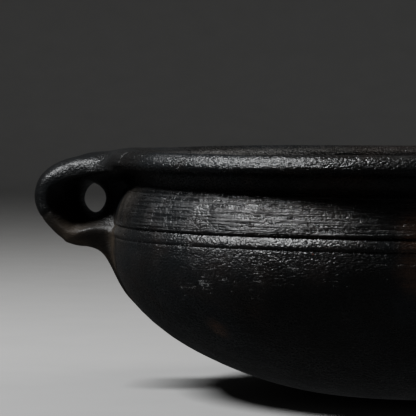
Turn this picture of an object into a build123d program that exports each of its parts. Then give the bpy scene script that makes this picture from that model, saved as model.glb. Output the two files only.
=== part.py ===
"""Black clay cazuela: a round-bottomed cooking pot with a rolled rim and two pierced ears.

The pot is hand built, so it is modelled as the clay members that a potter lutes together: a moulded base
bowl, three wall coils, a rolled rim coil and, on each side, an ear strap with a heel wad behind it and a
root wad under it. Millimetres, +Z up. The origin is the centre of the flat foot, the ears lie along X,
and the pot stands on the XY plane.
"""

import os
from math import asin, cos, degrees, radians, sqrt

from build123d import *

# Whole pot. Radii are from the pot's axis and heights are from the foot.
belly_r = 148.7  # widest radius of the bowl
pot_h = 113.0  # height of the rim's crest

# Bowl.
belly_rise = 0.597  # height of the widest radius, as a share of the pot's height
foot_cut = 5.0  # how much of the belly's ellipse the flat foot cuts away
wall = 7.0  # thickness of the wall
floor_t = 8.0  # thickness of the floor at the centre

# Shoulder coil and the groove above it.
coil_rise = 5.3  # from the widest radius up to the coil's lower line
coil_h = 4.6  # height of the coil
coil_proud = 0.8  # how far the coil stands out from its two lines
line_in = 0.5  # how far the coil's two lines lie inside the widest radius
groove_h = 1.4  # height of the groove between the coil and the wall band
groove_d = 1.5  # depth of the groove below the coil's lines
band_in = 0.9  # how far the wall band's lower edge lies inside the coil's lines
band_bow = 0.8  # how far the wall band bulges from a straight slope

# Neck and rim.
neck_inset = 6.2  # how far the neck lies inside the widest radius
neck_drop = 19.5  # from the crest down to the neck
rim_out = 1.3  # how far the rim stands out past the widest radius
rim_w = 13.8  # width of the rolled rim
rim_h = 7.4  # height of the rolled rim
rim_tuck = 3.6  # from the rim's outer radius in to where its underside meets the neck coil
rim_heel = 1.2  # how far the rim's foot lies inside its inner edge
rim_bulge = 0.5  # height of the rim's outermost point, as a share of the rim's height
rim_crown = 0.4  # from the rim's outer radius in to its crest, as a share of its width
rim_shed = 0.45  # from the crest down to the rim's inner edge, as a share of its height

# Each joint between two coils climbs this much from the outside to the inside.
scarf = 3.0

# Directions in which the section's curves leave or reach a point, as (outward, upward).
up, down = (0, 1), (0, -1)
outward, inward = (1, 0), (-1, 0)
shoulder_lean = (-0.15, 1)  # off the belly and on to the shoulder coil
band_lean = (0.05, 1)  # off the groove and on to the wall band
neck_lean = (-0.1, 1)  # up the wall band and into the neck
rim_flare = (1, 0.3)  # out of the neck and under the rim
crown_lean = (-0.25, -1)  # down the inside of the rim and of the neck coil
bowl_lean = (0.05, -1)  # down the inside of the bowl's upper edge
inner_lean = (0.25, -1)  # down the inside of the wall band
root_lean = (-0.35, -1)  # down the root wad to its toe

# Ears. Reaches are measured outwards from the rim.
ear_reach = 36.0  # how far an ear stands out past the rim
ear_w = 50.0  # width of an ear, along its finger hole
ear_top_drop = 0.8  # how far an ear's top starts below the crest
ear_bend = (18.0, 3.2)  # where the top begins to bend down: in from the tip, down from the crest
ear_knuckle = (4.4, 10.4)  # the turn from the top to the tip: in from the tip, down from the crest
ear_chin = (5.8, 8.8)  # the turn from the tip to the underside: in from the tip, up from the underside
ear_under = 20.5  # the underside's outer end, in from the tip
ear_foot = 0.84  # how far above the pot's widest radius an ear's underside meets it
hole_out = 8.6  # from the rim out to the centre of the hole's throat
hole_lift = 0.15  # how far the hole's centre lies above the middle of the ear's height
throat_x, throat_z = 5.9, 7.5  # half sizes of the hole at its throat
mouth_z = 11.1  # half height of the hole at its two mouths
strap_edge = 4.0  # thickness of the strap's tip at the two mouths
end_scale = 0.85  # size of an ear's side outline at its two ends, against its middle
heel_seat = 4.47  # height of strap left above and below the heel wad, at the neck's radius
root_out = 13.0  # how far out from the belly the root wad reaches along the strap's underside
root_drop = 18.3  # how far the root wad runs down the belly at its middle
root_dip = 0.6  # how far under the belly's skin the root wad's toe ends
root_fill = (2.4, 7.5)  # the root wad's hollow: out from the belly, down from the strap's underside
root_end = 0.55  # size of the root wad's section at its two ends, against its middle
root_bite = 3.0  # how far the root wad's blank reaches into the strap before the strap is cut from it
ear_sink = 6.5  # how far the ear's blank reaches inside the neck before the pot is cut from it
root_short = 1.0  # how much shorter than the ear the root wad is at each end

# Heights and radii worked out from the sizes above.
belly_z = belly_rise * pot_h
belly_depth = belly_z + foot_cut
foot_turn = degrees(asin(belly_z / belly_depth))
foot_r = belly_r * cos(radians(foot_turn))
neck_r = belly_r - neck_inset
rim_r = belly_r + rim_out
line_r = belly_r - line_in
coil_z = belly_z + coil_rise
groove_z = coil_z + coil_h
band_r = line_r - band_in
band_z = groove_z + groove_h
neck_z = pot_h - neck_drop
rim_z = pot_h - rim_h
rim_in = rim_r - rim_w
crest_r = rim_r - rim_crown * rim_w
inner_r = belly_r - wall
neck_in = neck_r - wall
hole_x = rim_r + hole_out
ear_low = belly_z + ear_foot
hole_z = (pot_h + ear_low) / 2 + hole_lift
tip_x = rim_r + ear_reach
ear_top = pot_h - ear_top_drop
mouth_far = hole_x + end_scale * (tip_x - hole_x) - strap_edge
mouth_x = (mouth_far - neck_r) / 2
mouth_out = (mouth_far + neck_r) / 2 - hole_x
blank_in = neck_r - ear_sink
heel_slope = ((pot_h - ear_low) / 2 - heel_seat) / (hole_x - neck_r)


def belly_at(z):
    """Outer radius of the bowl at a height."""
    below = max(0.0, belly_z - z)
    return belly_r * sqrt(1 - (below / belly_depth) ** 2)


root_in = min(blank_in, belly_at(ear_low - root_drop) - ear_sink)


def inner_wall_r(z):
    """Inner radius between the widest point and the neck, easing from one to the other."""
    share = min(1.0, max(0.0, (z - belly_z) / (neck_z - belly_z)))
    return inner_r + (neck_in - inner_r) * share**2 * (3 - 2 * share)


# Each joint between coils runs from an outer point to an inner point, both as (radius, height).
bowl_joint = ((line_r, coil_z), (inner_wall_r(coil_z + scarf), coil_z + scarf))
groove_joint = ((line_r - groove_d, groove_z + groove_h / 2), (inner_wall_r(band_z + scarf), band_z + scarf))
neck_joint = ((neck_r, neck_z), (neck_in, neck_z + scarf / 2))
rim_joint = ((rim_r - rim_tuck, rim_z), (rim_in - rim_heel, rim_z))


def belly_curve():
    """Outside of the bowl, from the foot's edge to its joint with the shoulder coil."""
    EllipticalCenterArc((0, belly_z), belly_r, belly_depth, start_angle=-foot_turn, arc_size=foot_turn)
    Spline((belly_r, belly_z), bowl_joint[0], tangents=[up, shoulder_lean])


def coil_curve():
    """Outside of the shoulder coil: a low bead, then the lower half of the groove."""
    ThreePointArc(bowl_joint[0], (line_r + coil_proud, (coil_z + groove_z) / 2), (line_r, groove_z))
    Line((line_r, groove_z), groove_joint[0])


def band_curve():
    """Outside of the wall band: the upper half of the groove, then a soft bow in towards the neck."""
    middle = ((band_r + neck_r) / 2 + band_bow, (band_z + neck_z) / 2)
    Line(groove_joint[0], (band_r, band_z))
    Spline((band_r, band_z), middle, neck_joint[0], tangents=[band_lean, neck_lean])


def neck_curve():
    """Outside of the neck coil: a cove from the neck out to the rim's underside."""
    Spline(neck_joint[0], rim_joint[0], tangents=[neck_lean, rim_flare])


def rim_curve():
    """The rolled rim, from its underside round over the crest to its inner edge."""
    outer = (rim_r, rim_z + rim_bulge * rim_h)
    crest = (crest_r, pot_h)
    inner = (rim_in, pot_h - rim_shed * rim_h)
    Spline(rim_joint[0], outer, crest, inner, rim_joint[1], tangents=[rim_flare, crown_lean])


# The five round members, each revolved from a section in the XZ plane.
with BuildPart() as base_bowl:
    with BuildSketch(Plane.XZ):
        with BuildLine():
            Line((0, 0), (foot_r, 0))
            belly_curve()
            Line(*bowl_joint)
            Spline(bowl_joint[1], (inner_r, belly_z), tangents=[bowl_lean, down])
            EllipticalCenterArc((0, belly_z), inner_r, belly_z - floor_t, start_angle=-90, arc_size=90)
            Line((0, floor_t), (0, 0))
        make_face()
    revolve(axis=Axis.Z)

with BuildPart() as shoulder_coil:
    with BuildSketch(Plane.XZ):
        with BuildLine():
            coil_curve()
            Line(*groove_joint)
            Line(groove_joint[1], bowl_joint[1])
            Line(bowl_joint[1], bowl_joint[0])
        make_face()
    revolve(axis=Axis.Z)

with BuildPart() as wall_band:
    with BuildSketch(Plane.XZ):
        with BuildLine():
            band_curve()
            Line(*neck_joint)
            Spline(neck_joint[1], groove_joint[1], tangents=[down, inner_lean])
            Line(groove_joint[1], groove_joint[0])
        make_face()
    revolve(axis=Axis.Z)

with BuildPart() as neck_coil:
    with BuildSketch(Plane.XZ):
        with BuildLine():
            neck_curve()
            Line(*rim_joint)
            Spline(rim_joint[1], neck_joint[1], tangents=[crown_lean, down])
            Line(neck_joint[1], neck_joint[0])
        make_face()
    revolve(axis=Axis.Z)

with BuildPart() as rim_coil:
    with BuildSketch(Plane.XZ):
        with BuildLine():
            rim_curve()
            Line(rim_joint[1], rim_joint[0])
        make_face()
    revolve(axis=Axis.Z)

# Everything inside the pot's outer skin. It is cut from the ears, so that they seat on the pot.
with BuildPart() as skin:
    with BuildSketch(Plane.XZ):
        with BuildLine():
            Line((0, 0), (foot_r, 0))
            belly_curve()
            coil_curve()
            band_curve()
            neck_curve()
            rim_curve()
            Line(rim_joint[1], (0, rim_joint[1][1]))
            Line((0, rim_joint[1][1]), (0, 0))
        make_face()
    revolve(axis=Axis.Z)

# Stations across an ear, as shares of its half width.
stations = (-1.0, -0.85, -0.5, 0.0, 0.5, 0.85, 1.0)


# The ear's side outline at its middle, from the bend in its top round the tip to its underside.
ear_turns = (
    (tip_x - ear_bend[0], pot_h - ear_bend[1]),
    (tip_x - ear_knuckle[0], pot_h - ear_knuckle[1]),
    (tip_x, hole_z),
    (tip_x - ear_chin[0], ear_low + ear_chin[1]),
    (tip_x - ear_under, ear_low),
)


def about_hole(point, size):
    """The point scaled about the centre of the hole."""
    return (hole_x + size * (point[0] - hole_x), hole_z + size * (point[1] - hole_z))


# Blank of one ear: a barrelled block whose side outline runs in to the rim's crest and the shoulder.
with BuildPart() as ear_blank:
    for share in stations:
        size = 1.0 - (1.0 - end_scale) * share**4
        start = (crest_r, hole_z + size * (ear_top - hole_z))
        turns = [about_hole(point, size) for point in ear_turns]
        low_z = turns[-1][1]
        with BuildSketch(Plane.XZ.offset(share * ear_w / 2)):
            with BuildLine():
                Spline(start, *turns, tangents=[outward, inward])
                Polyline(turns[-1], (blank_in, low_z), (blank_in, neck_z), start)
            make_face()
    loft()

# Finger hole: narrow at its throat and flared to both mouths.
with BuildPart() as finger_hole:
    for share in stations:
        flare = share**2
        with BuildSketch(Plane.XZ.offset(share * (ear_w / 2 + scarf))):
            with Locations((hole_x + mouth_out * flare, hole_z)):
                Ellipse(throat_x + (mouth_x - throat_x) * flare, throat_z + (mouth_z - throat_z) * flare)
    loft()

# Wedge from the hole's centre back to the pot. It divides the heel wad from the strap.
with BuildPart() as heel_wedge:
    back = hole_x - blank_in + ear_sink
    rise = back * heel_slope
    with BuildSketch(Plane.XZ):
        with BuildLine():
            Polyline((hole_x, hole_z), (hole_x - back, hole_z + rise), (hole_x - back, hole_z - rise), close=True)
        make_face()
    extrude(amount=ear_w, both=True)

with BuildPart() as ear_strap:
    add(ear_blank.part)
    add(skin.part, mode=Mode.SUBTRACT)
    add(finger_hole.part, mode=Mode.SUBTRACT)
    add(heel_wedge.part, mode=Mode.SUBTRACT)

with BuildPart() as ear_heel:
    add(ear_blank.part)
    add(heel_wedge.part, mode=Mode.INTERSECT)
    add(skin.part, mode=Mode.SUBTRACT)
    add(finger_hole.part, mode=Mode.SUBTRACT)

# Root wad: fills the corner under the strap and dies away down the belly and towards both ends.
with BuildPart() as ear_root:
    for share in stations:
        size = 1.0 - (1.0 - root_end) * share**2
        across = share * (ear_w / 2 - root_short)
        round_in = belly_r - sqrt(belly_r**2 - across**2)
        hollow_z = ear_low - size * root_fill[1]
        toe_z = ear_low - size * root_drop
        heel = (belly_r + size * root_out, ear_low)
        hollow = (belly_at(hollow_z) - round_in + size * root_fill[0], hollow_z)
        toe = (belly_at(toe_z) - round_in - root_dip, toe_z)
        top = ear_low + root_bite
        with BuildSketch(Plane.XZ.offset(across)):
            with BuildLine():
                Spline(heel, hollow, toe, tangents=[inward, root_lean])
                Polyline(toe, (root_in, toe[1]), (root_in, top), (heel[0], top), heel)
            make_face()
    loft()
    add(skin.part, mode=Mode.SUBTRACT)
    add(ear_blank.part, mode=Mode.SUBTRACT)

# The ear above is the one on the +X side. The other one is its mirror image.
members = {
    "base_bowl": base_bowl.part,
    "shoulder_coil": shoulder_coil.part,
    "wall_band": wall_band.part,
    "neck_coil": neck_coil.part,
    "rim_coil": rim_coil.part,
}
for name, piece in (("ear", ear_strap.part), ("ear_heel", ear_heel.part), ("ear_root", ear_root.part)):
    members["right_" + name] = piece
    members["left_" + name] = mirror(piece, about=Plane.YZ)

os.makedirs("parts", exist_ok=True)
for label, member in members.items():
    member.label = label
    export_step(member, "parts/" + label + ".step")
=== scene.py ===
"""Burnished black clay cazuela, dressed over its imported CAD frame.

The pot's skin is one hand-worked surface, cut into the potter's own clay members: base bowl, shoulder coil,
wall band, neck coil and rim coil. Each ear is one lump of clay, bent, pierced and smeared into the pot.
Sizes are in millimetres until a mesh is made, and the frame is the CAD frame.
"""

import logging
import math
from dataclasses import dataclass, field
from enum import Enum
from typing import Sequence

import bpy
import numpy as np
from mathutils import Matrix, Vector


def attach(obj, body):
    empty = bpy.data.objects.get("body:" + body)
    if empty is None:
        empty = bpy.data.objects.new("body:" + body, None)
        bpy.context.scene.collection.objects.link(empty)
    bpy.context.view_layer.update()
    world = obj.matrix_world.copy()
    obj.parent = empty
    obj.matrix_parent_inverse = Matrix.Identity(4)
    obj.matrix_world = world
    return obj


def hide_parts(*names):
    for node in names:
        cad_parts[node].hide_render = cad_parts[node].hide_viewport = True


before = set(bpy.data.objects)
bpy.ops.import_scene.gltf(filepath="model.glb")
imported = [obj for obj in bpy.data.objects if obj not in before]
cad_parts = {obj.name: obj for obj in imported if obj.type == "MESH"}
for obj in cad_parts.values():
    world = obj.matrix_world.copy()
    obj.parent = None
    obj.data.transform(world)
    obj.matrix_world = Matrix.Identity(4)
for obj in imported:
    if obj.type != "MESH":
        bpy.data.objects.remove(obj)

Array = np.ndarray
Socket = bpy.types.NodeSocket
Pair = tuple[float, float]
Triple = tuple[float, float, float]
Four = tuple[float, float, float, float]
Colour = Four
Line = tuple[Pair, ...]

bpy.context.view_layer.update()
MM = 0.001
log = logging.getLogger("cazuela")


# ---------- shared tools
class SolidNoise:
    """Smooth seeded noise that fills space and repeats only after many cells."""

    CELLS = 64

    def __init__(self, seed: int) -> None:
        """Draws the lattice from a seed."""
        self.lattice = np.random.default_rng(seed).uniform(-1.0, 1.0, (self.CELLS,) * 3)

    def __call__(self, points: Array, pitch: Sequence[float] | float) -> Array:
        """Noise at some points.

        Args:
            points: N by 3 positions in millimetres.
            pitch: size of a cell, one number or one for each axis.

        Returns:
            N values between -1 and 1.
        """
        scaled = points / np.asarray(pitch, float)
        base = np.floor(scaled).astype(int)
        part = scaled - base
        part = part * part * (3.0 - 2.0 * part)
        low = base & (self.CELLS - 1)
        high = (base + 1) & (self.CELLS - 1)
        total = np.zeros(len(points))
        for corner in range(8):
            pick = [(corner >> axis) & 1 for axis in range(3)]
            index = [np.where(pick[axis], high[:, axis], low[:, axis]) for axis in range(3)]
            weight = np.ones(len(points))
            for axis in range(3):
                weight = weight * (part[:, axis] if pick[axis] else 1.0 - part[:, axis])
            total += weight * self.lattice[index[0], index[1], index[2]]
        return total


def ease(value: Array, low: float | Array, high: float | Array) -> Array:
    """Smooth step of value from 0 at low to 1 at high."""
    share = np.clip((value - low) / (high - low), 0.0, 1.0)
    return share * share * (3.0 - 2.0 * share)


def zone(value: Array, start: float, full: float, fade: float, end: float) -> Array:
    """Smooth hump that is 1 from full to fade and 0 before start and after end."""
    return ease(value, start, full) * (1.0 - ease(value, fade, end))


def smooth_curve(
    points: Sequence[Pair], step: float, first: int = 0, last: int | None = None
) -> Array:
    """Smooth line through points, with even spacing.

    Args:
        points: the points that the line passes through.
        step: distance between the returned points.
        first, last: the points at which the returned stretch starts and ends.

    Returns:
        N by 2 points along the line.
    """
    parts = 24
    knots = np.asarray(points, float)
    padded = np.vstack([2 * knots[0] - knots[1], knots, 2 * knots[-1] - knots[-2]])
    stretches = []
    for a, b, c, d in zip(padded[:-3], padded[1:-2], padded[2:-1], padded[3:]):
        gaps = [max(1e-6, float(np.linalg.norm(q - p)) ** 0.5) for p, q in ((a, b), (b, c), (c, d))]
        leave = (b - a) / gaps[0] - (c - a) / (gaps[0] + gaps[1]) + (c - b) / gaps[1]
        arrive = (c - b) / gaps[1] - (d - b) / (gaps[1] + gaps[2]) + (d - c) / gaps[2]
        leave, arrive = leave * gaps[1], arrive * gaps[1]
        share = np.linspace(0.0, 1.0, parts, endpoint=False)[:, None]
        stretches.append(
            (2 * share**3 - 3 * share**2 + 1) * b
            + (share**3 - 2 * share**2 + share) * leave
            + (-2 * share**3 + 3 * share**2) * c
            + (share**3 - share**2) * arrive
        )
    line = np.vstack(stretches + [knots[-1:]])
    stop = len(line) if last is None else last * parts + 1
    return smooth_even(line[first * parts : stop], step)


def smooth_even(line: Array, step: float) -> Array:
    """The same line with even spacing."""
    run = np.concatenate([[0.0], np.cumsum(np.linalg.norm(np.diff(line, axis=0), axis=1))])
    marks = np.linspace(0.0, run[-1], max(2, int(round(run[-1] / step)) + 1))
    return np.column_stack([np.interp(marks, run, line[:, axis]) for axis in range(2)])


def smooth_min(a: Array, b: Array, reach: float) -> Array:
    """Union of two solids whose corner is filled over a reach in millimetres."""
    overlap = np.maximum(reach - np.abs(a - b), 0.0) / reach
    return np.minimum(a, b) - overlap**3 * reach / 6.0


def smooth_max(a: Array, b: Array, reach: float) -> Array:
    """Overlap of two solids whose edge is rounded over a reach in millimetres."""
    return -smooth_min(-a, -b, reach)


class FlatField:
    """Signed distance to a closed outline in the XZ plane, kept on a fine grid for quick reading."""

    PITCH = 0.35

    def __init__(self, outline: Array, low: Pair, high: Pair) -> None:
        """Fills the grid between two corners from a closed outline, its first point not repeated."""
        self.low = np.asarray(low, float)
        counts = [int((high[axis] - low[axis]) / self.PITCH) + 2 for axis in range(2)]
        x, z = (low[axis] + self.PITCH * np.arange(counts[axis]) for axis in range(2))
        grid_x, grid_z = np.meshgrid(x, z, indexing="ij")
        best = np.full(grid_x.shape, np.inf)
        inside = np.zeros(grid_x.shape, bool)
        for (ax, az), (bx, bz) in zip(outline, np.roll(outline, -1, axis=0)):
            dx, dz = bx - ax, bz - az
            length = dx * dx + dz * dz
            if length < 1e-12:
                continue
            share = np.clip(((grid_x - ax) * dx + (grid_z - az) * dz) / length, 0.0, 1.0)
            best = np.minimum(best, (grid_x - ax - share * dx) ** 2 + (grid_z - az - share * dz) ** 2)
            crosses = (az > grid_z) != (bz > grid_z)
            if az != bz:
                inside ^= crosses & (grid_x < ax + dx * (grid_z - az) / dz)
        self.values = np.where(inside, -1.0, 1.0) * np.sqrt(best)

    def __call__(self, x: Array, z: Array) -> Array:
        """Signed distance at N places of the plane, negative inside the outline."""
        column = np.clip((x - self.low[0]) / self.PITCH, 0.0, self.values.shape[0] - 1.001)
        row = np.clip((z - self.low[1]) / self.PITCH, 0.0, self.values.shape[1] - 1.001)
        i, j = column.astype(int), row.astype(int)
        u, v = column - i, row - j
        near = self.values[i, j] * (1 - v) + self.values[i, j + 1] * v
        far = self.values[i + 1, j] * (1 - v) + self.values[i + 1, j + 1] * v
        return near * (1 - u) + far * u


def surface_nets(values: Array, low: Array, pitch: float) -> tuple[Array, Array]:
    """Closed mesh of four-sided faces where a grid of signed distances is zero.

    Args:
        values: signed distances on a regular grid, negative inside.
        low: position of the grid's first point.
        pitch: spacing of the grid.

    Returns:
        The vertices, N by 3, and the faces, M by 4, wound outwards.
    """
    inside = values < 0.0
    cells = tuple(n - 1 for n in values.shape)
    crossings = np.zeros(cells, np.int8)
    total = np.zeros(cells + (3,))
    ends = [(a, b) for a in range(8) for b in range(8) if b > a and bin(a ^ b).count("1") == 1]

    def corner(array: Array, number: int) -> Array:
        """The array's values at one corner of every cell."""
        shift = [(number >> axis) & 1 for axis in range(3)]
        return array[tuple(slice(s, s + n) for s, n in zip(shift, cells))]

    for a, b in ends:
        crossed = corner(inside, a) != corner(inside, b)
        va, vb = corner(values, a), corner(values, b)
        share = np.where(crossed, va / np.where(crossed, va - vb, 1.0), 0.0)
        crossings += crossed
        for axis in range(3):
            start = (a >> axis) & 1
            change = ((b >> axis) & 1) - start
            total[..., axis] += np.where(crossed, start + share * change, 0.0)
    active = crossings > 0
    number = np.full(cells, -1)
    number[active] = np.arange(int(active.sum()))
    where = np.argwhere(active)
    vertices = low + pitch * (where + total[active] / crossings[active][:, None])
    faces = []
    for axis in range(3):
        one, two = (axis + 1) % 3, (axis + 2) % 3
        first, second = [slice(1, -1)] * 3, [slice(1, -1)] * 3
        first[axis], second[axis] = slice(0, -1), slice(1, None)
        start, stop = inside[tuple(first)], inside[tuple(second)]
        spots = np.argwhere(start != stop)
        outward = start[tuple(spots.T)]
        spots[:, one] += 1
        spots[:, two] += 1
        ring = []
        for back_one, back_two in ((1, 1), (0, 1), (0, 0), (1, 0)):
            cell = spots.copy()
            cell[:, one] -= back_one
            cell[:, two] -= back_two
            ring.append(number[tuple(cell.T)])
        quads = np.column_stack(ring)
        quads[~outward] = quads[~outward][:, ::-1]
        faces.append(quads)
    return vertices, np.vstack(faces)


def make_piece(
    name: str, vertices: Array, faces: Array, flat: Array | None = None
) -> bpy.types.Object:
    """Makes one mesh piece, in metres, with smooth shading.

    Args:
        name: the piece's name.
        vertices: N by 3 positions in millimetres.
        faces: M by 4 vertex numbers. A face whose last two numbers are equal is a triangle.
        flat: which faces are shaded flat, such as the hidden joint faces.

    Returns:
        The new object.
    """
    flat = np.zeros(len(faces), bool) if flat is None else flat
    sides = np.where(faces[:, 2] == faces[:, 3], 3, 4)
    keep = np.ones(faces.shape, bool)
    keep[:, 3] = sides == 4
    loops = faces[keep]
    mesh = bpy.data.meshes.new(name)
    mesh.vertices.add(len(vertices))
    mesh.vertices.foreach_set("co", (vertices * MM).astype(np.float32).ravel())
    mesh.loops.add(len(loops))
    mesh.loops.foreach_set("vertex_index", loops.astype(np.int32))
    mesh.polygons.add(len(faces))
    starts = np.concatenate([[0], np.cumsum(sides)[:-1]]).astype(np.int32)
    mesh.polygons.foreach_set("loop_start", starts)
    mesh.polygons.foreach_set("use_smooth", ~flat)
    mesh.update(calc_edges=True)
    mesh.validate()
    piece = bpy.data.objects.new(name, mesh)
    bpy.context.scene.collection.objects.link(piece)
    return piece


# ---------- the pot's skin
@dataclass(frozen=True)
class PotSection:
    """The pot's section as (radius, height) points, from the middle of the foot to that of the floor."""

    ARC = 2000

    belly_r: float = 148.7
    belly_z: float = 67.5
    foot_cut: float = 5.0
    wall: float = 7.0
    floor_t: float = 8.0
    line_z: float = 72.9
    groove_z: float = 78.1
    neck_z: float = 93.5
    rim_z: float = 105.7
    crest_z: float = 113.0
    foot_fillet: float = 5.0

    def belly(self, step: float) -> Array:
        """Outside of the bowl, from the middle of its flat foot to its widest point, evenly spaced."""
        depth = self.belly_z + self.foot_cut
        angles = np.radians(np.linspace(-90.0, 0.0, self.ARC))
        curve = np.column_stack([self.belly_r * np.cos(angles), self.belly_z + depth * np.sin(angles)])
        tight = 4.0 / self.foot_fillet
        curve[:, 1] = np.logaddexp(0.0, curve[:, 1] * tight) / tight
        settled = math.log(1.0 + math.exp(-self.foot_cut * tight)) / tight
        curve[:, 1] = np.maximum(curve[:, 1] - settled, 0.0)
        return smooth_even(curve, step)

    def outside(self) -> dict[str, list[Pair]]:
        """Outside points above the bowl, by member. Each stretch starts where the one before it ends."""
        r, line, groove, neck, rim = self.belly_r, self.line_z, self.groove_z, self.neck_z, self.rim_z
        return {
            "start": [(r, self.belly_z)],
            "shoulder": [(r - 0.10, line - 2.6), (r - 0.15, line - 1.0), (r - 0.42, line - 0.1)],
            "coil": [
                (r - 0.02, line + 0.7), (r + 0.02, line + 1.7), (r - 0.42, line + 3.1),
                (r - 1.15, groove - 0.7), (r - 2.05, groove),
            ],
            "band": [
                (r - 1.25, groove + 0.9), (r - 1.10, groove + 2.2), (r - 1.75, groove + 6.0),
                (r - 3.05, groove + 10.0), (r - 4.60, groove + 13.4), (r - 6.40, neck + 1.0),
            ],
            "neck": [
                (r - 8.20, neck + 3.2), (r - 9.20, neck + 6.4), (r - 7.60, neck + 9.9), (r - 2.90, rim - 0.5),
            ],
            "rim": [
                (r - 0.70, rim - 0.35), (r + 0.90, rim + 0.45), (r + 1.50, rim + 1.9), (r + 1.05, rim + 3.7),
                (r + 0.10, rim + 5.4), (r - 1.60, rim + 6.7), (r - 4.30, self.crest_z), (r - 8.20, rim + 6.6),
                (r - 11.20, rim + 5.0), (r - 12.40, rim + 2.6), (r - 12.60, rim - 0.3),
            ],
        }

    def inside(self) -> dict[str, list[Pair]]:
        """Points of the inside from the rim's foot down to the bowl, by member, in the same way."""
        r = self.belly_r
        return {
            "start": [(r - 12.60, self.rim_z - 0.3)],
            "neck": [(r - 13.90, self.rim_z - 5.0), (r - 14.10, self.neck_z + 2.0)],
            "band": [(r - 11.6, self.neck_z - 7.0), (r - 9.2, self.groove_z + 3.0)],
            "coil": [(r - 8.0, self.line_z + 3.0)],
        }

    @staticmethod
    def stretch(face: dict[str, list[Pair]], member: str, step: float) -> Array:
        """One member's stretch of a face, as an evenly spaced line.

        Args:
            face: the outside or the inside.
            member: the member's name.
            step: distance between points.

        Returns:
            N by 2 points, from where the member before it ends.
        """
        names = list(face)
        points = [point for name in names for point in face[name]]
        last = sum(len(face[name]) for name in names[: names.index(member) + 1]) - 1
        return smooth_curve(points, step, last - len(face[member]), last)

    def inner_bowl(self, step: float) -> Array:
        """Inside of the bowl, from the shoulder coil down to the middle of the floor, evenly spaced."""
        inner_r, depth = self.belly_r - self.wall, self.belly_z - self.floor_t
        angles = np.radians(np.linspace(0.0, -90.0, self.ARC))
        curve = np.column_stack([inner_r * np.cos(angles), self.belly_z + depth * np.sin(angles)])
        top = np.array([[self.belly_r - 8.0, self.line_z + 3.0], [inner_r - 0.15, self.belly_z + 4.0]])
        return smooth_even(np.vstack([top, curve]), step)


@dataclass(frozen=True)
class Mark:
    """One kind of hand mark in the clay: how high it stands and how large its cells are."""

    height: float
    pitch: float | Triple
    shift: float = 0.0

    def over(self, noise: SolidNoise, points: Array) -> Array:
        """Height of the mark at some points, in millimetres."""
        return self.height * noise(points + self.shift, self.pitch)


@dataclass
class PotSkin:
    """The hand-worked skin of the pot: its section, turned about the axis and marked by the potter."""

    section: PotSection = field(default_factory=PotSection)
    wobble: SolidNoise = field(default_factory=lambda: SolidNoise(11))
    marks: SolidNoise = field(default_factory=lambda: SolidNoise(12))
    swelling: tuple[Mark, ...] = (Mark(0.45, 95.0), Mark(0.22, 38.0, 300.0))
    paddling: tuple[Mark, ...] = (Mark(0.06, 13.0), Mark(0.05, 6.0, 70.0))
    scraping: tuple[Mark, ...] = (Mark(0.085, (52.0, 52.0, 1.9)), Mark(0.05, (34.0, 34.0, 0.9), 90.0))
    rubbing: Mark = Mark(0.030, (22.0, 22.0, 1.7), 40.0)
    pitting: Mark = Mark(0.030, 2.4, 10.0)
    foot_z: Pair = (0.5, 14.0)
    floor_r: Pair = (60.0, 120.0)
    band_z: Four = (77.5, 80.0, 92.0, 97.0)
    rubbed_z: Four = (20.0, 45.0, 68.0, 74.0)

    def lift(self, points: Array) -> Array:
        """How far the worked clay stands out from the section, in millimetres.

        Args:
            points: N by 3 positions on or near the skin.

        Returns:
            N heights along the skin's normal.
        """
        radius = np.hypot(points[:, 0], points[:, 1])
        z = points[:, 2]
        broad = sum(mark.over(self.wobble, points) for mark in self.swelling)
        paddled = sum(mark.over(self.marks, points) for mark in self.paddling)
        scraped = sum(mark.over(self.marks, points) for mark in self.scraping)
        pitted = self.pitting.over(self.marks, points) * ease(radius, *self.floor_r)
        everywhere = ease(z, *self.foot_z) * (broad + paddled + pitted)
        on_belly = zone(z, *self.rubbed_z) * self.rubbing.over(self.marks, points)
        return everywhere + zone(z, *self.band_z) * scraped + on_belly

    def turned(self, line: Array, columns: int) -> Array:
        """Turns a stretch of section into worked skin.

        Args:
            line: N by 2 points of the section, in the order of the whole section.
            columns: how many columns go round the pot.

        Returns:
            N by columns by 3 positions.
        """
        along = np.gradient(line, axis=0)
        along /= np.maximum(np.linalg.norm(along, axis=1), 1e-9)[:, None]
        normal = np.column_stack([along[:, 1], -along[:, 0]])
        turn = 2.0 * math.pi * np.arange(columns) / columns
        ring = np.stack([np.cos(turn), np.sin(turn)], axis=-1)
        heights = np.broadcast_to(line[:, None, 1:], (len(line), columns, 1))
        base = np.concatenate([line[:, None, :1] * ring[None], heights], axis=-1)
        rises = np.broadcast_to(normal[:, None, 1:], heights.shape)
        out = np.concatenate([normal[:, None, :1] * ring[None], rises], axis=-1)
        lift = self.lift(base.reshape(-1, 3)).reshape(heights.shape)
        centre = (line[:, 0] < 1e-6)[:, None, None]
        return base + np.where(centre, 0.0, out * lift)

    def outline(self) -> Array:
        """Closed outline of everything inside the outer skin, for seating the ears on."""
        s = self.section
        parts = [s.belly(1.0)[:-1]]
        parts += [s.stretch(s.outside(), name, 0.3)[:-1] for name in ("shoulder", "coil", "band", "neck")]
        rim = s.stretch(s.outside(), "rim", 0.3)
        return np.vstack(parts + [rim, [[0.0, rim[-1][1]]]])


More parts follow.
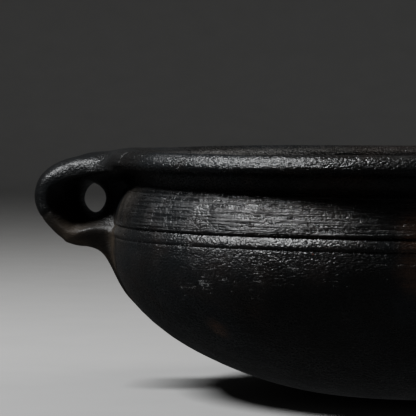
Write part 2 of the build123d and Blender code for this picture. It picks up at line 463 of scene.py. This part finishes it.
@dataclass
class ClayMember:
    """One ring of clay cut from the pot's skin: an outer and an inner stretch, closed by joint faces."""

    name: str
    columns: int
    outer: Array
    inner: Array | None = None

    def build(self, skin: PotSkin) -> bpy.types.Object:
        """Makes the member's closed mesh from the pot's skin."""
        stretches = [self.outer] if self.inner is None else [self.outer, self.inner]
        rows = np.vstack([skin.turned(line, self.columns) for line in stretches])
        height = len(rows)
        column = np.arange(self.columns)
        ahead = (column + 1) % self.columns
        faces, flat = [], []
        joints = {len(self.outer) - 1, height - 1}
        for row in range(height):
            following = (row + 1) % height
            quad = np.column_stack([
                row * self.columns + column, row * self.columns + ahead,
                following * self.columns + ahead, following * self.columns + column,
            ])
            faces.append(quad)
            flat.append(np.full(self.columns, row in joints))
        merged = self.close_poles(rows.reshape(-1, 3), np.vstack(faces), np.concatenate(flat))
        return make_piece(self.name, *merged)

    @staticmethod
    def close_poles(vertices: Array, quads: Array, is_flat: Array) -> tuple[Array, Array, Array]:
        """Merges the points that lie on the pot's axis and drops the faces that this flattens.

        Args:
            vertices: N by 3 positions in millimetres.
            quads: M by 4 vertex numbers.
            is_flat: which faces are shaded flat.

        Returns:
            The vertices that are left, the faces between them and their flat marks.
        """
        on_axis = np.hypot(vertices[:, 0], vertices[:, 1]) < 1e-6
        if not on_axis.any():
            return vertices, quads, is_flat
        rename = np.arange(len(vertices))
        for height in np.unique(np.round(vertices[on_axis, 2], 4)):
            same = np.flatnonzero(on_axis & (np.abs(vertices[:, 2] - height) < 1e-3))
            rename[same] = same[0]
        quads = rename[quads]
        kept, flags = [], []
        for quad, flag in zip(quads.tolist(), is_flat.tolist()):
            corners = list(dict.fromkeys(quad))
            if len(corners) >= 3:
                kept.append(corners if len(corners) == 4 else corners + corners[-1:])
                flags.append(flag)
        quads = np.array(kept)
        used = np.unique(quads)
        number = np.full(len(vertices), -1)
        number[used] = np.arange(len(used))
        return vertices[used], number[quads], np.array(flags)


# ---------- the ears
class Side(Enum):
    """Which side of the pot an ear stands on, as the sign of its X position."""

    LEFT = -1
    RIGHT = 1


@dataclass
class Ear:
    """One ear: a strap bent out from the rim and down to the shoulder, pierced and smeared into the pot."""

    side: Side
    skin: PotSkin
    seed: int
    pitch: float = 0.75
    half_w: float = 25.5
    taper: float = 3.0
    taper_x: Pair = (150.0, 192.0)
    barrel: float = 0.09
    barrel_end: float = 1.1
    wrap_x: Pair = (150.0, 166.0)
    hole_x: float = 158.6
    hole_z: float = 90.8
    edge_round: float = 9.0
    arris_round: float = 1.6
    crest_r: float = 143.6
    crest_round: float = 4.0
    cap_round: float = 2.5
    web_w: float = 20.0
    web_most: float = 21.0
    web_out: float = 165.0
    web_run: float = 22.0
    web_z: Pair = (98.0, 104.0)
    web_drop: float = 2.0
    drop_y: Pair = (-12.0, 8.0)
    root_w: float = 13.0
    root_spread: float = 11.0
    root_z: Pair = (44.0, 70.0)
    heel_blend: float = 5.0
    blend: float = 9.0
    back_blend: float = 1.5
    flare_most: float = 1.12
    kneading: tuple[Mark, ...] = (Mark(0.35, 17.0), Mark(0.20, 6.0, 50.0))
    poking: Mark = Mark(0.25, 9.0, 90.0)
    ragged: Mark = Mark(2.5, 7.0, 20.0)
    smear_t: float = 0.42
    smear_run: Pair = (2.0, 10.0)
    lap_points: Line = ((176.0, 85.6), (184.8, 79.6))
    lap_depth: float = 0.35
    lap_w: float = 0.8
    lap_share: Pair = (0.45, 0.8)
    sunk: float = 0.07
    shell_t: float = 2.2
    skirt: float = 14.0
    low: Triple = (122.0, -64.0, 36.0)
    high: Triple = (190.5, 64.0, 117.0)
    plane_low: Pair = (118.0, 34.0)
    plane_high: Pair = (200.0, 124.0)
    crest_points: Line = (
        (143.0, 111.4), (150.0, 112.0), (158.0, 112.1), (168.0, 109.8), (175.8, 107.1), (182.3, 102.7),
        (186.0, 96.6), (187.1, 90.6), (185.5, 84.1), (180.3, 77.1), (174.6, 71.9), (169.0, 69.2),
        (162.5, 68.3), (155.0, 68.9), (147.0, 70.0), (138.0, 70.0),
    )
    crest_back: Line = ((134.0, 112.0),)
    root_points: Line = (
        (170.0, 70.3), (164.5, 68.6), (160.3, 68.2), (156.2, 66.5), (153.2, 64.2), (150.8, 61.2),
        (148.9, 57.6), (147.5, 53.8), (145.7, 49.8), (142.5, 45.0), (136.0, 40.0),
    )
    root_back: Line = ((134.0, 80.0), (168.0, 80.0))
    throat_points: Line = (
        (160.2, 97.1), (162.7, 96.1), (164.9, 93.5), (165.9, 89.7), (165.1, 86.5), (163.2, 83.9),
        (160.7, 82.7), (157.8, 83.5), (155.4, 86.4), (154.4, 89.7), (155.1, 93.1), (157.3, 95.7),
    )
    mouth_points: Line = (
        (178.8, 91.0), (177.0, 95.2), (172.2, 97.8), (167.4, 99.5), (160.0, 100.9), (153.0, 102.1),
        (147.0, 102.6), (141.5, 100.5), (138.2, 95.6), (138.0, 89.8), (140.2, 84.6), (142.6, 80.8),
        (145.6, 77.3), (151.0, 76.4), (157.8, 76.1), (163.0, 75.0), (167.0, 74.4), (170.8, 76.0),
        (174.4, 79.4), (177.2, 83.2), (178.8, 87.0),
    )

    def flats(self) -> list[FlatField]:
        """Distance fields of the strap, the root, the hole's throat and mouth, and the pot, in one plane."""
        strap = np.vstack([smooth_curve(self.crest_points, 0.8), self.crest_back])
        root = np.vstack([smooth_curve(self.root_points, 0.8), self.root_back])
        throat = smooth_curve(self.throat_points + self.throat_points[:1], 0.6)[:-1]
        mouth = smooth_curve(self.mouth_points + self.mouth_points[:1], 0.6)[:-1]
        outlines = (strap, root, throat, mouth, self.skin.outline())
        return [FlatField(outline, self.plane_low, self.plane_high) for outline in outlines]

    def web(self, x: Array, z: Array) -> Array:
        """How far the strap spreads to each side as it runs into the rim."""
        spread = self.web_w * np.maximum((self.web_out - x) / self.web_run, 0.0) ** 2
        return np.minimum(spread, self.web_most) * ease(z, *self.web_z)

    def strap(self, flat: FlatField, points: Array, half_w: Array) -> Array:
        """Signed distance to the bent strap before it is pierced.

        Args:
            flat: distance to the strap's outline.
            points: N by 3 positions in millimetres.
            half_w: half of the strap's width at each point.

        Returns:
            N distances, negative inside the clay.
        """
        x, y, z = points.T
        from_axis = np.hypot(x, y)
        size = 1.0 - self.barrel * np.minimum(np.abs(y) / half_w, self.barrel_end) ** 4
        out = x + (from_axis - x) * (1.0 - ease(x, *self.wrap_x))
        at_side = ease(np.abs(y), half_w + self.drop_y[0], half_w + self.drop_y[1])
        height = z + self.web_drop * at_side * ease(z, *self.web_z)
        flat_x = self.hole_x + (out - self.hole_x) / size
        flat_z = self.hole_z + (height - self.hole_z) / size
        strap = smooth_max(size * flat(flat_x, flat_z), self.crest_r - from_axis, self.crest_round)
        return smooth_max(strap, np.abs(y) - half_w - self.web(x, z), self.edge_round)

    def root(self, flat: FlatField, points: Array) -> Array:
        """Signed distance to the wad under the strap, which widens upwards."""
        x, y, z = points.T
        half_w = self.root_w + self.root_spread * ease(z, *self.root_z)
        return smooth_max(flat(x, z), np.abs(y) - half_w, self.edge_round)

    def field(self, points: Array) -> Array:
        """Signed distance to the ear's skin, which runs out just under the pot's skin.

        Args:
            points: N by 3 positions in millimetres, with the ear on the +X side.

        Returns:
            N distances, negative inside the clay.
        """
        strap_flat, root_flat, throat_flat, mouth_flat, pot_flat = self.flats()
        knead = SolidNoise(self.seed)
        x, y, z = points.T
        half_w = self.half_w - self.taper * ease(x, *self.taper_x)
        strap = self.strap(strap_flat, points, half_w)
        ear = smooth_min(strap, self.root(root_flat, points), self.heel_blend)
        for mark in self.kneading:
            ear = ear - mark.over(knead, points)
        lap = np.exp(-((self.lap_distance(x, z) / self.lap_w) ** 2))
        ear = ear + self.lap_depth * lap * ease(np.abs(y) / half_w, *self.lap_share)
        lift = self.skin.lift(points * np.array([float(self.side.value), 1.0, 1.0]))
        pot = pot_flat(np.hypot(x, y), z) - lift
        smear = self.smear_t * (1.0 - ease(ear + self.ragged.over(knead, points), *self.smear_run))
        bed = pot + self.sunk - smear
        joined = smooth_min(ear, bed, self.blend)
        over_crest = z - lift - self.skin.section.crest_z + 2.0 * self.sunk
        joined = smooth_max(joined, over_crest, self.cap_round)
        flare = np.clip(np.abs(y) / (half_w + self.web(x, z)), 0.0, self.flare_most) ** 2
        hole = throat_flat(x, z) * (1.0 - flare) + mouth_flat(x, z) * flare - self.poking.over(knead, points)
        pierced = smooth_max(joined, -hole, self.arris_round)
        backed = smooth_min(pierced, bed, self.back_blend)
        shell = np.maximum(backed, -(pot + self.shell_t))
        return np.maximum(shell, ear - self.skirt)

    def lap_distance(self, x: Array, z: Array) -> Array:
        """Distance in the XZ plane to the lap where the strap's lower end was pressed on to the heel."""
        (ax, az), (bx, bz) = self.lap_points
        dx, dz = bx - ax, bz - az
        share = np.clip(((x - ax) * dx + (z - az) * dz) / (dx * dx + dz * dz), 0.0, 1.0)
        return np.hypot(x - ax - share * dx, z - az - share * dz)

    def build(self) -> bpy.types.Object:
        """Makes the ear's closed mesh and turns it to its own side."""
        low = np.array(self.low)
        counts = ((np.array(self.high) - low) / self.pitch).astype(int) + 1
        axes = [low[axis] + self.pitch * np.arange(counts[axis]) for axis in range(3)]
        grid = np.stack(np.meshgrid(*axes, indexing="ij"), axis=-1).reshape(-1, 3)
        values = self.field(grid).reshape(tuple(counts))
        clear = 5.0
        values[[0, -1]], values[:, [0, -1]], values[:, :, [0, -1]] = clear, clear, clear
        vertices, faces = surface_nets(values, low, self.pitch)
        if self.side is Side.LEFT:
            vertices[:, 0] *= -1.0
            faces = faces[:, ::-1]
        return make_piece(f"{self.side.name.lower()}_ear_clay", vertices, faces)


# ---------- finishes
class NodeBench:
    """Short names for laying out one material's nodes."""

    def __init__(self, name: str) -> None:
        """Starts a named material with a principled shader and an output."""
        self.material = bpy.data.materials.new(name)
        self.material.use_nodes = True
        self.tree = self.material.node_tree
        self.tree.nodes.clear()
        self.shader = self.add("BsdfPrincipled", {})
        self.add("OutputMaterial", {"Surface": self.shader.outputs["BSDF"]})
        self.place = self.add("TexCoord", {}).outputs["Object"]

    def feed(self, socket: Socket, value: object) -> None:
        """Links an input to another node's output, or sets it to a plain value."""
        if isinstance(value, Socket):
            self.tree.links.new(value, socket)
        else:
            socket.default_value = value

    def add(self, kind: str, inputs: dict[int | str, object], **settings: str) -> bpy.types.Node:
        """Adds a node.

        Args:
            kind: the node's type.
            inputs: what goes into its inputs, by name or number.
            settings: the node's own settings.

        Returns:
            The node.
        """
        node = self.tree.nodes.new("ShaderNode" + kind)
        for key, value in settings.items():
            setattr(node, key, value)
        for key, value in inputs.items():
            self.feed(node.inputs[key], value)
        return node

    def math(self, operation: str, a: object, b: object = 0.0, c: object = 0.0) -> Socket:
        """Result of a math operation on one, two or three values."""
        return self.add("Math", {0: a, 1: b, 2: c}, operation=operation).outputs[0]

    def stretch(self, scale: Triple, shift: float = 0.0, tilt: float = 0.0) -> Socket:
        """The place, tilted, scaled by axis and moved along."""
        moved = {"Scale": scale, "Location": (shift, shift * 0.7, shift * 1.3), "Rotation": (tilt, tilt, 0.0)}
        return self.add("Mapping", {"Vector": self.place, **moved}).outputs[0]

    def noise(
        self, pitch: float | Triple, detail: float = 2.0, rough: float = 0.5, shift: float = 0.0,
        tilt: float = 0.0
    ) -> Socket:
        """Adds a noise pattern.

        Args:
            pitch: cell size in millimetres, one size or one for each axis.
            detail: how many finer layers it has.
            rough: how strong those layers are.
            shift, tilt: how far it moves along and turns.

        Returns:
            The noise, from 0 to 1.
        """
        sizes = (pitch,) * 3 if isinstance(pitch, (int, float)) else pitch
        place = self.stretch(tuple(1000.0 / size for size in sizes), shift, tilt)
        settings = {"Scale": 1.0, "Detail": detail, "Roughness": rough}
        return self.add("TexNoise", {"Vector": place, **settings}).outputs["Fac"]

    def distance(self, place: Triple, mirrored: bool = False) -> Socket:
        """Distance in metres from a place given in millimetres, or from its nearest mirror image."""
        start = self.place
        if mirrored:
            start = self.add("VectorMath", {0: start}, operation="ABSOLUTE").outputs["Vector"]
        end = tuple(MM * value for value in place)
        return self.add("VectorMath", {0: start, 1: end}, operation="DISTANCE").outputs["Value"]

    def cells(self, pitch: float, shift: float = 0.0) -> tuple[Socket, Socket]:
        """Distance to the nearest of some scattered spots, and a colour picked for each spot."""
        node = self.add("TexVoronoi", {"Vector": self.stretch((1000.0 / pitch,) * 3, shift), "Scale": 1.0})
        return node.outputs["Distance"], node.outputs["Color"]

    def span(self, value: object, low: float, high: float, start: float = 0.0, stop: float = 1.0) -> Socket:
        """A value mapped smoothly from low-high to start-stop, without leaving that range."""
        numbers = dict(enumerate((value, low, high, start, stop)))
        return self.add("MapRange", numbers, interpolation_type="SMOOTHSTEP").outputs[0]

    def blend(self, share: object, a: object, b: object) -> Socket:
        """Two colours mixed by the share of the second."""
        return self.add("Mix", {"Factor": share, 6: a, 7: b}, data_type="RGBA").outputs[2]

    def bump(self, height: Socket, tall: float, strength: float, under: Socket | None = None) -> Socket:
        """Normal of a relief with a full height in millimetres, over an earlier bump if there is one."""
        below = {} if under is None else {"Normal": under}
        relief = {"Distance": tall * MM, "Strength": strength, "Height": height}
        return self.add("Bump", {**relief, **below}).outputs[0]


@dataclass(frozen=True)
class Speck:
    """One kind of tiny speck in the clay: how far apart, how rare and of what colour."""

    pitch: float
    shift: float
    rarity: float
    colour: Colour


@dataclass(frozen=True)
class BurnishedClay:
    """Smoke-fired black clay, rubbed to a soft shine over a fine grain. Places and heights are in metres."""

    name: str
    black: Colour = (0.0054, 0.0052, 0.0050, 1.0)
    # Blue-grey of the painted sheen: patches that stand in for the cool sheen of light on the clay.
    painted_sheen: Colour = (0.0076, 0.0085, 0.0095, 1.0)
    umber: Colour = (0.065, 0.030, 0.014, 1.0)
    dust: Colour = (0.034, 0.025, 0.016, 1.0)
    specks: tuple[Speck, ...] = (
        Speck(8.0, 0.0, 0.90, (0.42, 0.10, 0.05, 1.0)), Speck(9.5, 4.4, 0.93, (0.50, 0.44, 0.36, 1.0)),
    )
    speck_r: Pair = (0.055, 0.095)
    umber_share: float = 0.10
    scorches: tuple[Four, ...] = ()
    scorch_share: float = 0.85
    dust_top: float = 0.0
    dust_share: float = 0.0
    dust_dull: float = 0.30
    smear_at: Triple = (139.0, 46.0, 86.0)
    smear_reach: Pair = (0.020, 0.044)
    smear_share: float = 0.34
    shine_low: float = 0.23
    shine_high: float = 0.42
    grain_worn: float = 0.45
    cloud_worn: float = 0.35
    streak_worn: float = 0.12
    band_worn: float = 0.90
    band_level: float = -0.40
    worn_range: Pair = (0.36, 0.66)
    gloss_ior: float = 1.47
    tip_ior: float = 1.47
    tip_grain: float = 1.0
    tip_r: Pair = (0.151, 0.166)
    tip_z: Pair = (0.092, 0.102)
    band_low: Pair = (0.0775, 0.0795)
    band_high: Pair = (0.093, 0.099)
    grain_mm: float = 1.0
    pebble_mm: float = 0.12
    streak_mm: float = 0.10
    scratch_mm: float = 0.12

    def material(self) -> bpy.types.Material:
        """Builds the finish's nodes."""
        bench = NodeBench(self.name)
        x, y, z = bench.add("SeparateXYZ", {0: bench.place}).outputs
        radius = bench.math("SQRT", bench.math("MULTIPLY_ADD", x, x, bench.math("MULTIPLY", y, y)))
        grain = bench.noise((1.5, 1.5, 0.8), 2.0, 0.6)
        pebble = bench.noise((4.2, 4.2, 2.2), 2.0, 0.5, 5.3)
        streak = bench.noise((34.0, 34.0, 1.1), 3.0, 0.6, 7.7)
        cloud = bench.noise(16.0, 3.0, 0.5, 1.9)
        away = bench.math("MULTIPLY_ADD", cloud, 0.020, bench.distance(self.smear_at, True))
        smeared = bench.span(away, *self.smear_reach, 1.0, 0.0)
        band = bench.math("MULTIPLY", bench.span(z, *self.band_low), bench.span(z, *self.band_high, 1.0, 0.0))
        band = bench.math("MULTIPLY", band, bench.math("SUBTRACT", 1.0, smeared))
        beside = bench.math("MULTIPLY", bench.span(radius, *self.tip_r, 1.0, 0.0), bench.span(z, *self.tip_z))
        dusty = self.paint(bench, z, cloud, streak, smeared)
        shine = self.shine(bench, grain, cloud, streak, band)
        bench.feed(bench.shader.inputs["Roughness"], bench.math("MULTIPLY_ADD", dusty, self.dust_dull, shine))
        rubbed = bench.math("MULTIPLY", grain, bench.span(beside, 0.0, 1.0, self.tip_grain, 1.0))
        patchy = bench.math("MULTIPLY", band, bench.span(cloud, 0.36, 0.60, 0.45, 1.0))
        normal = bench.bump(pebble, self.pebble_mm, 0.7)
        normal = bench.bump(rubbed, self.grain_mm, 0.7, normal)
        normal = bench.bump(bench.math("MULTIPLY", streak, patchy), self.streak_mm, 1.0, normal)
        normal = bench.bump(self.scratches(bench), self.scratch_mm, 1.0, normal)
        bench.feed(bench.shader.inputs["Normal"], normal)
        bench.feed(bench.shader.inputs["IOR"], bench.span(beside, 0.0, 1.0, self.tip_ior, self.gloss_ior))
        return bench.material

    def shine(self, bench: NodeBench, grain: Socket, cloud: Socket, streak: Socket, band: Socket) -> Socket:
        """Roughness of the rubbed clay, from its three patterns and the share of the scraped band."""
        worn = bench.math("MULTIPLY", grain, self.grain_worn)
        worn = bench.math("MULTIPLY_ADD", cloud, self.cloud_worn, worn)
        in_band = bench.math("MULTIPLY_ADD", band, self.band_worn, self.streak_worn)
        worn = bench.math("MULTIPLY_ADD", streak, in_band, worn)
        worn = bench.math("MULTIPLY_ADD", band, self.band_level, worn)
        return bench.span(worn, *self.worn_range, self.shine_low, self.shine_high)

    def paint(self, bench: NodeBench, z: Socket, cloud: Socket, streak: Socket, smeared: Socket) -> Socket:
        """Lays the smoke-black, the blue-grey patches of painted sheen, the umber patches, the dust and the
        specks.

        Args:
            bench: the material's bench.
            z: height on the pot.
            cloud, streak: two of the patterns.
            smeared: share of smeared clay beside the ears.

        Returns:
            The share of dust.
        """
        # Random patches of blue-grey over the black: a painted sheen, not the clay's own colour.
        tone = bench.blend(bench.span(bench.noise(60.0, 3.0), 0.42, 0.62), self.black, self.painted_sheen)
        scorched = bench.math("MULTIPLY", self.scorch(bench), bench.span(streak, 0.30, 0.60, 0.45, 1.0))
        tone = bench.blend(scorched, tone, self.umber)
        patchy = bench.span(cloud, 0.35, 0.62, 0.35, 1.0)
        dusty = bench.math("MULTIPLY", bench.math("MULTIPLY", smeared, self.smear_share), patchy)
        if self.dust_share:
            low = bench.span(z, self.dust_top - 0.012, self.dust_top + 0.004, self.dust_share, 0.0)
            dusty = bench.math("MAXIMUM", dusty, bench.math("MULTIPLY", low, patchy))
        tone = bench.blend(dusty, tone, self.dust)
        for speck in self.specks:
            distance, pick = bench.cells(speck.pitch, speck.shift)
            rare = bench.span(pick, speck.rarity, speck.rarity + 0.02)
            dot = bench.math("MULTIPLY", bench.span(distance, *self.speck_r, 1.0, 0.0), rare)
            tone = bench.blend(dot, tone, speck.colour)
        bench.feed(bench.shader.inputs["Base Color"], tone)
        return dusty

    def scorch(self, bench: NodeBench) -> Socket:
        """Share of umber: broad patches all over, and the finish's own scorches."""
        patch = bench.span(bench.noise(70.0, 4.0, 0.62, 3.1), 0.50, 0.64, 0.0, self.umber_share)
        for x, y, height, radius in self.scorches:
            reach = radius * MM
            ragged = bench.noise(22.0, 4.0, 0.65)
            away = bench.math("MULTIPLY_ADD", ragged, reach, bench.distance((x, y, height)))
            near = bench.span(away, 0.75 * reach, 1.5 * reach, self.scorch_share, 0.0)
            patch = bench.math("MAXIMUM", patch, near)
        return patch

    @staticmethod
    def scratches(bench: NodeBench) -> Socket:
        """Sparse short scratches, from -1 to 0, that run along the pot and slightly across it."""
        total = None
        for shift, tilt in ((2.2, 0.10), (9.1, -0.16)):
            line = bench.noise((26.0, 26.0, 0.9), 1.0, 0.5, shift, tilt)
            off_line = bench.math("ABSOLUTE", bench.math("SUBTRACT", line, 0.56))
            thin = bench.span(off_line, 0.0, 0.012, 1.0, 0.0)
            rare = bench.span(bench.noise(11.0, 1.0, 0.5, shift + 1.0), 0.56, 0.62)
            short = bench.math("MULTIPLY", thin, rare)
            total = short if total is None else bench.math("MAXIMUM", total, short)
        return bench.math("MULTIPLY", total, -1.0)


# ---------- the studio
@dataclass(frozen=True)
class Lamp:
    """One soft lamp: angles in degrees from the camera's side, reach and size in metres, power in watts."""

    name: str
    azimuth: float
    elevation: float
    reach: float
    size: Pair
    power: float
    tint: Triple

    def hang(self, orbit: float, aim_z: float) -> None:
        """Hangs the lamp, for a camera turned by some degrees, and points it at a height."""
        data = bpy.data.lights.new(self.name, "AREA")
        data.shape, data.energy, data.color = "RECTANGLE", self.power, self.tint
        data.size, data.size_y = self.size
        lamp = bpy.data.objects.new(self.name, data)
        bpy.context.scene.collection.objects.link(lamp)
        turn, rise = math.radians(self.azimuth + orbit - 90.0), math.radians(self.elevation)
        flat = self.reach * math.cos(rise)
        lamp.location = (flat * math.cos(turn), flat * math.sin(turn), aim_z + self.reach * math.sin(rise))
        aim = Vector((0.0, 0.0, aim_z)) - lamp.location
        lamp.rotation_euler = aim.to_track_quat("-Z", "Y").to_euler()


@dataclass(frozen=True)
class Studio:
    """A plain pale table, a window on the left, two weaker lamps and a long lens at table height."""

    lens_mm: float = 233.7
    sensor_mm: float = 36.0
    clip: Pair = (0.05, 30.0)
    distance: float = 1.2744
    camera_z: float = 0.1357
    orbit: float = 3.6
    aim_left: float = 4.70
    aim_down: float = 2.25
    table_sides: int = 96
    table_gap: float = 0.2
    table_rings: tuple[float, ...] = (0.0, 300.0, 800.0, 1500.0, 2200.0, 2800.0)
    sweep_r: float = 900.0
    wall_top: float = 2600.0
    table_dark: Colour = (0.40, 0.397, 0.39, 1.0)
    table_light: Colour = (0.45, 0.447, 0.44, 1.0)
    lamp_aim: float = 0.07
    lamps: tuple[Lamp, ...] = (
        Lamp("window", -81.0, 48.0, 1.15, (0.18, 0.40), 20.0, (0.97, 0.985, 1.0)),
        Lamp("back", 130.0, 62.0, 1.5, (0.6, 0.5), 3.2, (1.0, 0.96, 0.90)),
        Lamp("fill", 112.0, 30.0, 1.5, (0.9, 0.7), 9.0, (1.0, 0.98, 0.95)),
    )
    room_tint: Colour = (0.80, 0.82, 0.84, 1.0)
    room_strength: float = 0.045

    def table_line(self) -> Array:
        """The table's section as (radius, height) points: flat, then swept up into a wall."""
        edge = self.table_rings[-1]
        flat = [(radius, 0.0) for radius in self.table_rings]
        sweep = np.radians(np.linspace(0.0, 90.0, 16))[1:]
        curve = [(edge + self.sweep_r * math.sin(a), self.sweep_r * (1.0 - math.cos(a))) for a in sweep]
        return np.array(flat + curve + [(edge + self.sweep_r, self.wall_top)])

    def table(self) -> None:
        """Lays the table, a wide dish that sweeps up all round, and its plain pale finish."""
        line = self.table_line()
        turn = 2.0 * math.pi * np.arange(self.table_sides) / self.table_sides
        heights = np.repeat(line[:, 1:] - self.table_gap, len(turn), 1)
        rows = np.stack([line[:, :1] * np.cos(turn), line[:, :1] * np.sin(turn), heights], axis=-1)
        column = np.arange(len(turn))
        ahead = (column + 1) % len(turn)
        start = len(turn) * np.arange(len(line) - 1)[:, None]
        above = start + len(turn)
        quads = np.stack([start + column, above + column, above + ahead, start + ahead], axis=-1)
        table = make_piece("table_top", *ClayMember.close_poles(
            rows.reshape(-1, 3), quads.reshape(-1, 4), np.zeros(quads.size // 4, bool)
        ))
        bench = NodeBench("pale_table")
        tone = bench.blend(bench.noise(40.0, 3.0), self.table_dark, self.table_light)
        bench.feed(bench.shader.inputs["Base Color"], tone)
        bench.feed(bench.shader.inputs["Normal"], bench.bump(bench.noise(0.8, 2.0), 0.02, 0.3))
        bench.shader.inputs["Roughness"].default_value = 0.85
        table.data.materials.append(bench.material)
        table.visible_glossy = False

    def sky(self) -> None:
        """Sets the dim even light of the room."""
        world = bpy.data.worlds.new("room")
        world.use_nodes = True
        light = world.node_tree.nodes["Background"]
        light.inputs["Color"].default_value = self.room_tint
        light.inputs["Strength"].default_value = self.room_strength
        bpy.context.scene.world = world

    def camera(self) -> None:
        """Places the camera and makes it the scene's own."""
        data = bpy.data.cameras.new("camera")
        data.lens, data.sensor_width = self.lens_mm, self.sensor_mm
        data.clip_start, data.clip_end = self.clip
        camera = bpy.data.objects.new("camera", data)
        bpy.context.scene.collection.objects.link(camera)
        turn, pitch = math.radians(self.orbit), math.radians(90.0 - self.aim_down)
        camera.location = (self.distance * math.sin(turn), -self.distance * math.cos(turn), self.camera_z)
        camera.rotation_euler = (pitch, 0.0, math.radians(self.orbit + self.aim_left))
        bpy.context.scene.camera = camera

    def set_up(self) -> None:
        """Lays the table, hangs the lamps and places the camera."""
        self.table()
        for lamp in self.lamps:
            lamp.hang(self.orbit, self.lamp_aim)
        self.sky()
        self.camera()


# ---------- putting it together
@dataclass
class Cazuela:
    """The whole pot: its clay members, its ears and their finishes."""

    skin: PotSkin = field(default_factory=PotSkin)
    columns: int = 600

    def members(self) -> list[tuple[ClayMember, str]]:
        """The round members, each with its finish's slot."""
        s, wide = self.skin.section, self.columns
        out, back = s.outside(), s.inside()
        bowl = np.vstack([s.belly(1.8)[:-1], s.stretch(out, "shoulder", 0.6)])
        coil, coil_back = s.stretch(out, "coil", 0.4), s.stretch(back, "coil", 1.0)
        band, band_back = s.stretch(out, "band", 0.5), s.stretch(back, "band", 1.5)
        neck, neck_back = s.stretch(out, "neck", 0.8), s.stretch(back, "neck", 1.5)
        return [
            (ClayMember("base_bowl_clay", wide, bowl, s.inner_bowl(3.5)), "bowl_clay"),
            (ClayMember("shoulder_coil_clay", wide, coil, coil_back), "band_clay"),
            (ClayMember("wall_band_clay", wide, band, band_back), "band_clay"),
            (ClayMember("neck_coil_clay", wide, neck, neck_back), "band_clay"),
            (ClayMember("rim_coil_clay", 2 * wide, s.stretch(out, "rim", 0.5)), "bowl_clay"),
        ]

    def build(self) -> None:
        """Builds, dresses and seats every piece."""
        clays = {
            "bowl_clay": BurnishedClay(
                "burnished_bowl_clay", scorch_share=0.5,
                scorches=((-86.0, -102.0, 36.0, 9.0), (8.0, -148.0, 66.0, 16.0)),
            ),
            "band_clay": BurnishedClay(
                "scraped_band_clay", gloss_ior=1.52, tip_ior=1.52, shine_low=0.20, shine_high=0.46,
                grain_mm=0.8, pebble_mm=0.15, streak_mm=1.7, scorches=((14.0, -146.0, 84.0, 24.0),),
            ),
            "ear_clay": BurnishedClay(
                "smeared_ear_clay", smear_share=0.0, dust_top=0.084, dust_share=0.8,
                shine_low=0.30, shine_high=0.44, tip_grain=0.45, tip_ior=1.28,
            ),
        }
        finishes = {slot: clay.material() for slot, clay in clays.items()}
        for member, slot in self.members():
            piece = member.build(self.skin)
            self.seat(piece, finishes[slot], slot, member.name.removesuffix("_clay"))
        for side, seed in ((Side.LEFT, 21), (Side.RIGHT, 22)):
            piece = Ear(side, self.skin, seed).build()
            stem = f"{side.name.lower()}_ear"
            self.seat(piece, finishes["ear_clay"], "ear_clay", stem, stem + "_heel", stem + "_root")

    @staticmethod
    def seat(piece: bpy.types.Object, finish: bpy.types.Material, slot: str, *nodes: str) -> None:
        """Gives a piece its finish and its place in the frame.

        Args:
            piece: the piece.
            finish: its material.
            slot: the record's material slot; not used.
            nodes: the CAD nodes that it stands for.
        """
        piece.data.materials.append(finish)
        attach(piece, "root")
        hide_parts(*nodes)
        log.info("%s: %d faces, stands for %s", piece.name, len(piece.data.polygons), ", ".join(nodes))


def corners(bounds: object) -> list[list[float]]:
    """A box as plain lists of numbers."""
    return [[float(value) for value in point] for point in bounds]


def main() -> None:
    """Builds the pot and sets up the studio."""
    logging.basicConfig(level=logging.INFO, format="%(name)s: %(message)s")
    Cazuela().build()
    Studio().set_up()


if __name__ == "__main__":
    main()
